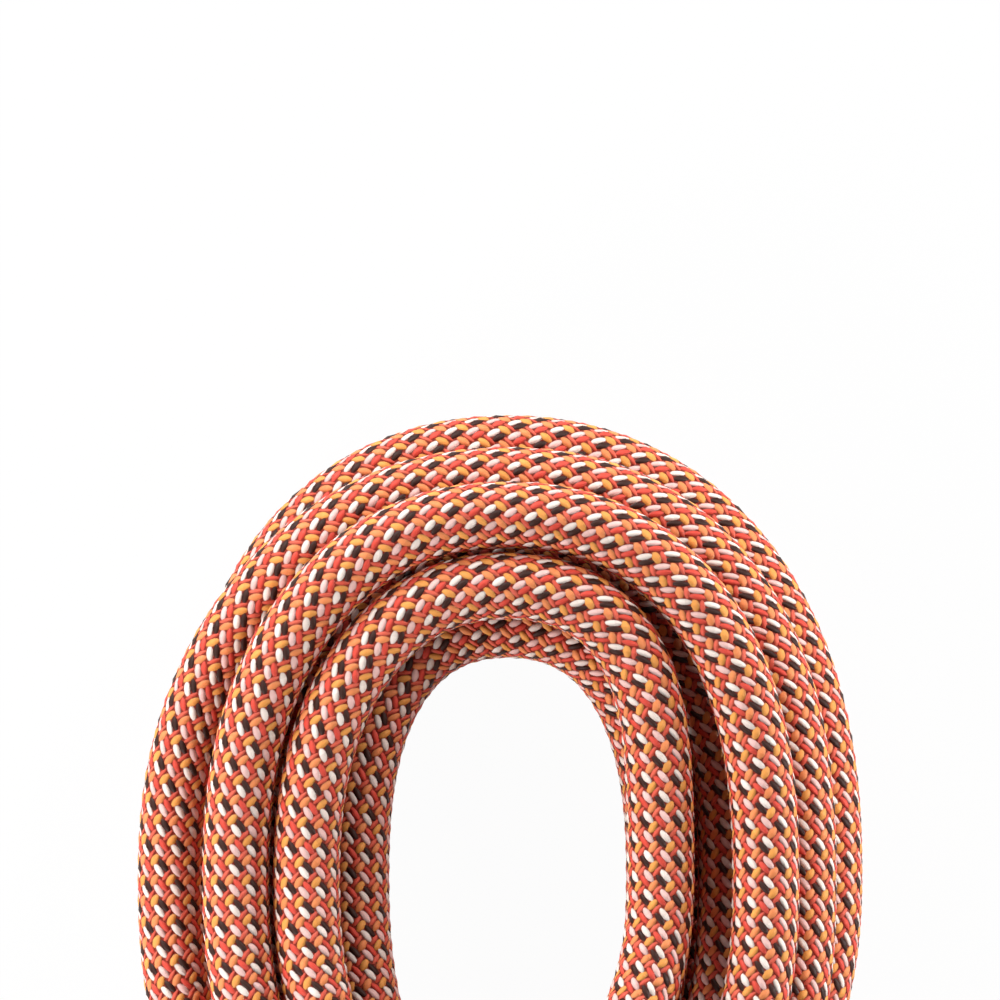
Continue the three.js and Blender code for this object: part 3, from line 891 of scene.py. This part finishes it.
@dataclass
class Sheath:
    """The woven sheath: one tube with a raised float at every crossing that is up."""

    rings: Rings
    crest: float = 5.03 * MM
    dip: float = 4.86 * MM
    bore: float = 3.65 * MM
    sides: int = 2 * WEAVE_COLUMNS
    bore_sides: int = WEAVE_COLUMNS
    bore_step: int = 6

    def build(self) -> bpy.types.Object:
        """The sheath's outside, bore and cut ends as one closed piece.

        A ring stands at every half row of floats and a side at every half column, so
        crests and dips alternate like the squares of a chess board. Each square is
        split from dip to dip, so that every float is a small pyramid.

        Returns:
            The sheath.
        """
        sides, rows = self.sides, len(self.rings.at)
        r, k = np.meshgrid(np.arange(rows), np.arange(sides), indexing="ij")
        up = (r + k) % 2 == 0
        angle = round_angles(sides) + self.rings.roll[:, None]
        outside = self.rings.surface(angle, np.where(up, self.crest, self.dip))
        inner = self.rings.every(self.bore_step)
        wide = round_angles(self.bore_sides) + inner.roll[:, None]
        inside = inner.surface(wide, np.full(self.bore_sides, self.bore))
        points = np.vstack([outside.reshape(-1, 3), inside.reshape(-1, 3)])
        base = rows * sides
        crest_first = up[:-1].ravel()
        outer = split_squares(grid_quads(rows, sides), crest_first)
        bore = grid_quads(len(inner.at), self.bore_sides, base, inward=True)
        ends = self.cut_ends(rows, base, len(inner.at))
        piece = make_piece("woven_sheath", points, [*outer.tolist(), *bore.tolist(), *ends])
        self.add_maps(piece, rows, sides, crest_first)
        return piece

    def cut_ends(self, rows: int, base: int, inner_rows: int) -> list[list[int]]:
        """The two flat rings that join the outside to the bore.

        Args:
            rows: Rings of the outside.
            base: Number of the bore's first point.
            inner_rows: Rings of the bore.

        Returns:
            Their triangles.
        """
        faces = []
        last = base + (inner_rows - 1) * self.bore_sides
        for row, first, flip in ((0, base, False), (rows - 1, last, True)):
            for k in range(self.bore_sides):
                a, b, c = (row * self.sides + (2 * k + i) % self.sides for i in range(3))
                i, j = first + k, first + (k + 1) % self.bore_sides
                for face in ([a, b, i], [b, j, i], [b, c, j]):
                    faces.append(face[::-1] if flip else face)
        return faces

    def add_maps(self, piece: bpy.types.Object, rows: int, sides: int, crest_first: Array) -> None:
        """The weave's own map, and the bake's map that repeats with the weave.

        Args:
            piece: The sheath.
            rows: Its rings.
            sides: Its sides.
            crest_first: Whether each square starts at a crest.
        """
        row, side = grid_corners(rows, sides)
        corners = np.stack([row, side], axis=-1).reshape(-1, 4, 2).astype(float)
        outer = split_squares(corners, crest_first)
        weave = outer.reshape(-1, 2)[:, ::-1] / 2
        period = 2 * PERIOD_ROWS
        start = np.floor(outer[:, :, 0].min(axis=1, keepdims=True) / period) * period
        along = ((outer[:, :, 0] - start) / period).ravel()
        add_map(piece, "Weave", weave)
        add_map(piece, "OFBake", np.column_stack([weave[:, 0] / WEAVE_COLUMNS, along]))
        piece.data.uv_layers.active = piece.data.uv_layers["Weave"]


@dataclass
class CoreStrand:
    """One core strand: three plies twisted together, seen as three lobes that wind."""

    rings: Rings
    number: int
    centre: float = 2.4 * MM
    crest: float = 1.18 * MM
    dip: float = 0.98 * MM
    sides: int = 6
    twist: float = np.radians(30)

    def build(self) -> bpy.types.Object:
        """Sweeps the lobed section along the rope, off its centre line.

        Returns:
            The strand.
        """
        at = 2 * np.pi * (self.number - 0.5) / CORE_STRANDS
        offset = np.cos(at) * self.rings.side + np.sin(at) * self.rings.up
        rings = replace(self.rings, at=self.rings.at + self.centre * offset)
        spin = self.twist * np.arange(len(rings.at))[:, None]
        angle = spin + round_angles(self.sides)
        radius = np.where(np.arange(self.sides) % 2 == 0, self.crest, self.dip)
        return closed_strand(f"twisted_core_{self.number}", rings, angle, radius)


@dataclass
class IdentificationThread:
    """The dyed thread in the middle of the core."""

    rings: Rings
    radius: float = 0.42 * MM
    sides: int = 6

    def build(self) -> bpy.types.Object:
        """A round thread along the centre line."""
        radius = np.full(self.sides, self.radius)
        return closed_strand(
            "identification_thread", self.rings, round_angles(self.sides), radius
        )


def closed_strand(name: str, rings: Rings, angle: Array, radius: Array) -> bpy.types.Object:
    """A closed strand: a section swept along rings, with both ends filled.

    Args:
        name: The piece's name.
        rings: Where the section stands.
        angle: Angles of its corners, one row per ring or one for all.
        radius: Radii of its corners.

    Returns:
        The strand, with a map that counts turns round it and centimetres along it.
    """
    sides, rows = angle.shape[-1], len(rings.at)
    faces = [*grid_quads(rows, sides).tolist(), *end_caps(rows, sides)]
    piece = make_piece(name, rings.surface(angle, radius), faces)
    row, side = grid_corners(rows, sides)
    spacing = rings.length / (rows - 1) / MM
    add_map(piece, "Weave", np.column_stack([side / sides, row * spacing / 10]))
    return piece


@dataclass
class RopeEnd:
    """A rope end: a shrunk sleeve over the sheath and a melted tip on the cut."""

    rings: Rings
    end: End
    sides: int = 64
    sleeve_setback: float = 4.0 * MM
    sleeve_length: float = 26.0 * MM
    sleeve_bore: float = 5.16 * MM
    sleeve_radius: float = 5.78 * MM
    lip: float = 0.28 * MM
    tip_radius: float = 4.86 * MM
    tip_length: float = 3.3 * MM
    lump: float = 0.16 * MM
    tip_gap: float = 0.05 * MM
    blunt: float = 0.35
    draw: float = 0.09 * MM
    ripple: float = 0.03 * MM

    def axis(self) -> tuple[Array, Array, Array, Array]:
        """The cut's centre, the way outward, and the cut's side and up."""
        i, sign = (0, -1.0) if self.end is End.A else (-1, 1.0)
        rings = self.rings
        return rings.at[i], sign * rings.along[i], sign * rings.side[i], rings.up[i]

    def turned(self, name: str, distance: Array, radius: Array, filled: bool) -> bpy.types.Object:
        """A surface turned on the rope's axis.

        Args:
            name: The piece's name.
            distance: Distance outward from the cut, one per row or a grid.
            radius: Radius, of the same kind.
            filled: Whether the first and last rows are filled; if not, they join.

        Returns:
            The piece, with a map in columns and rows of the weave under it.
        """
        at, outward, side, up = self.axis()
        rows, shape = len(distance), (len(distance), self.sides)
        d, r = (np.broadcast_to(v.reshape(rows, -1), shape) for v in (distance, radius))
        points = section_points(at + d[..., None] * outward, side, up, round_angles(self.sides), r)
        if filled:
            more = end_caps(rows, self.sides)
        else:
            k = np.arange(self.sides)
            after, last = np.roll(k, -1), (rows - 1) * self.sides
            more = np.column_stack([last + k, k, after, last + after]).tolist()
        piece = make_piece(name, points, [*grid_quads(rows, self.sides).tolist(), *more])
        row, turn = grid_corners(rows, self.sides)
        columns = turn * WEAVE_COLUMNS / self.sides
        add_map(piece, "Weave", np.column_stack([columns, d[row, 0] / WEAVE_ROW]))
        return piece

    def sleeve(self) -> bpy.types.Object:
        """The sleeve: a thin tube with rolled lips that draws in a little between them."""
        far = -self.sleeve_setback - self.sleeve_length
        share = np.linspace(0.0, 1.0, 61)
        middle = np.sin(np.pi * share)
        draw = self.draw * np.sqrt(middle) + self.ripple * np.sin(share * 29) * middle
        turn = np.linspace(0.0, np.pi / 2, 7)[:-1]
        back, rise = self.lip * (1 - np.sin(turn)), self.lip * (1 - np.cos(turn))
        straight = self.lip + (self.sleeve_length - 2 * self.lip) * share
        near = self.sleeve_length
        distance = far + np.r_[0.0, rise, straight, near - rise[::-1], near]
        bore, edge = self.sleeve_bore, self.sleeve_radius - back
        radius = np.r_[bore, edge, self.sleeve_radius - draw, edge[::-1], bore]
        return self.turned(f"shrunk_sleeve_{self.end.value}", distance, radius, filled=False)

    def tip(self) -> bpy.types.Object:
        """The melted tip: a blunt dome with slow lumps, flush with the sheath's cut."""
        share = np.linspace(0.0, 1.0, 22)[:, None]
        angle = round_angles(self.sides)[None]
        rounded = np.clip((share - self.blunt) / (1 - self.blunt), 0, 1)
        dome = (1 - rounded**2.6 * 0.97) ** 0.5
        lumps = np.sin(3 * angle + 5 * share) * np.cos(2 * angle - 3 * share + 0.7)
        lumps = lumps + 0.5 * np.sin(7 * angle + 2 * share)
        fading = np.sin(np.pi * np.clip(share * 1.1, 0, 1))
        radius = self.tip_radius * dome + self.lump * lumps * fading
        distance = (self.tip_gap + self.tip_length * share) + 0 * angle
        return self.turned(f"fused_tip_{self.end.value}", distance, radius, filled=True)


@dataclass(frozen=True)
class Lamp:
    """A square soft lamp: its name, place, width in metres and power in watts."""

    name: str
    place: tuple[float, float, float]
    width: float
    power: float

    def add(self, target: Sequence[float]) -> None:
        """Puts the lamp in the scene, turned to its target."""
        data = bpy.data.lights.new(self.name, "AREA")
        data.size = self.width
        data.energy = self.power
        lamp = add_object(self.name, data)
        lamp.location = self.place
        away = np.array(self.place) - target
        lamp.rotation_euler = Vector(away).to_track_quat("Z", "Y").to_euler()


@dataclass
class Studio:
    """The plain white studio: floor, world, soft lamps and the camera above."""

    centre: tuple[float, float] = (-0.000234, 0.13705)
    view_width: float = 0.1474
    focus_level: float = 0.022
    distance: float = 1.3
    sensor: float = 36.0
    lit_middle: tuple[float, float, float] = (0.0, 0.08, 0.0)
    lamps: tuple[Lamp, ...] = (
        Lamp("back", (-0.08, 1.02, 0.2), 0.35, 3.0),
        Lamp("back left", (-0.5, 0.9, 0.2), 0.35, 7.2),
        Lamp("back right", (0.38, 0.45, 0.35), 0.2, 2.0),
        Lamp("right", (0.5, 0.14, 0.04), 0.1, 2.0),
        Lamp("left", (-0.42, 0.18, 0.26), 0.22, 0.8),
        Lamp("front left", (-0.4, -0.35, 0.3), 0.2, 3.7),
    )
    world_light: float = 0.06
    floor_half: float = 4.0
    floor_grey: float = 0.86
    floor_glow: float = 0.97

    def camera(self) -> None:
        """A camera that looks straight down, far enough away for a flat picture."""
        data = bpy.data.cameras.new("camera")
        data.sensor_width = self.sensor
        data.lens = self.sensor * self.distance / self.view_width
        camera = add_object("camera", data)
        camera.location = (*self.centre, self.focus_level + self.distance)
        bpy.context.scene.camera = camera

    def floor(self) -> None:
        """A wide white floor that takes the hank's soft shadow."""
        corners = self.floor_half * np.array([[-1, -1, 0], [1, -1, 0], [1, 1, 0], [-1, 1, 0]])
        piece = make_piece("floor", corners, [[0, 1, 2, 3]])
        g = Graph("white floor")
        material = g.surface(Base_Color=(self.floor_grey,) * 3, Roughness=0.9)
        share = g.seen() * self.floor_glow
        glow = g.value(g.node("ShaderNodeEmission", {}, {"Color": WHITE, "Strength": 1.0}))
        both = g.node("ShaderNodeMixShader", {}, {0: share, 1: g.value(g.shader), 2: glow})
        g.feed(g.tree.nodes["Material Output"].inputs[0], g.value(both))
        piece.data.materials.append(material)

    def world(self) -> None:
        """An even world: dim as a light, white where it is seen or mirrored."""
        g = Graph("studio", of_world=True)
        inputs = {"Value": g.seen(), "To Min": self.world_light, "To Max": 1.0}
        level = g.value(g.node("ShaderNodeMapRange", {}, inputs))
        bpy.context.scene.world = g.surface(Color=WHITE, Strength=level)

    def build(self) -> None:
        """Sets up everything but the camera, which comes first."""
        self.floor()
        self.world()
        for lamp in self.lamps:
            lamp.add(self.lit_middle)
        bpy.context.scene.view_settings.view_transform = "Standard"


@dataclass
class Rope:
    """The whole rope: sheath, core, thread, sleeves and tips on one route."""

    route: HankRoute = HankRoute()
    half_row: float = WEAVE_ROW / 2 / MM
    declared_diameter: float = 9.8 * MM

    def build(self) -> None:
        """Makes and dresses every piece."""
        rings = self.route.rings(self.half_row)
        sheath = Sheath(rings).build()
        self.dress(sheath, BraidFinish().make(), "sheath")
        core = TwistFinish("core yarn", colour(244, 240, 230), colour(196, 190, 176)).make()
        core_rings = self.route.rings(1.5 * self.half_row)
        pieces = []
        for number in range(1, CORE_STRANDS + 1):
            strand = CoreStrand(core_rings, number).build()
            self.dress(strand, core, f"core_strand_{number}")
            pieces.append(strand)
        thread = IdentificationThread(rings.every(4)).build()
        marker = TwistFinish("marker yarn", colour(70, 130, 190), colour(24, 62, 120)).make()
        self.dress(thread, marker, "marker_thread")
        pieces.append(thread)
        sleeve_material, tip_material = ShrunkFinish().make(), FusedFinish().make()
        for end in End:
            maker = RopeEnd(rings, end)
            sleeve, tip = maker.sleeve(), maker.tip()
            self.dress(sleeve, sleeve_material, f"end_sleeve_{end.value}")
            self.dress(tip, tip_material, f"melted_tip_{end.value}")
            pieces += [sleeve, tip]

    def dress(
        self, piece: bpy.types.Object, material: bpy.types.Material, node: str
    ) -> None:
        """Gives a piece its finish, ties it to the body and lets it stand for its node."""
        piece.data.materials.append(material)
        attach(piece, "root")
        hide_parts(node)
        LOG.info("%s: %d faces for node %s", piece.name, len(piece.data.polygons), node)


def main() -> None:
    """Camera and rope first, then the studio."""
    logging.basicConfig(level=logging.INFO, format="%(name)s %(message)s")
    studio = Studio()
    studio.camera()
    Rope().build()
    studio.build()


if __name__ == "__main__":
    main()
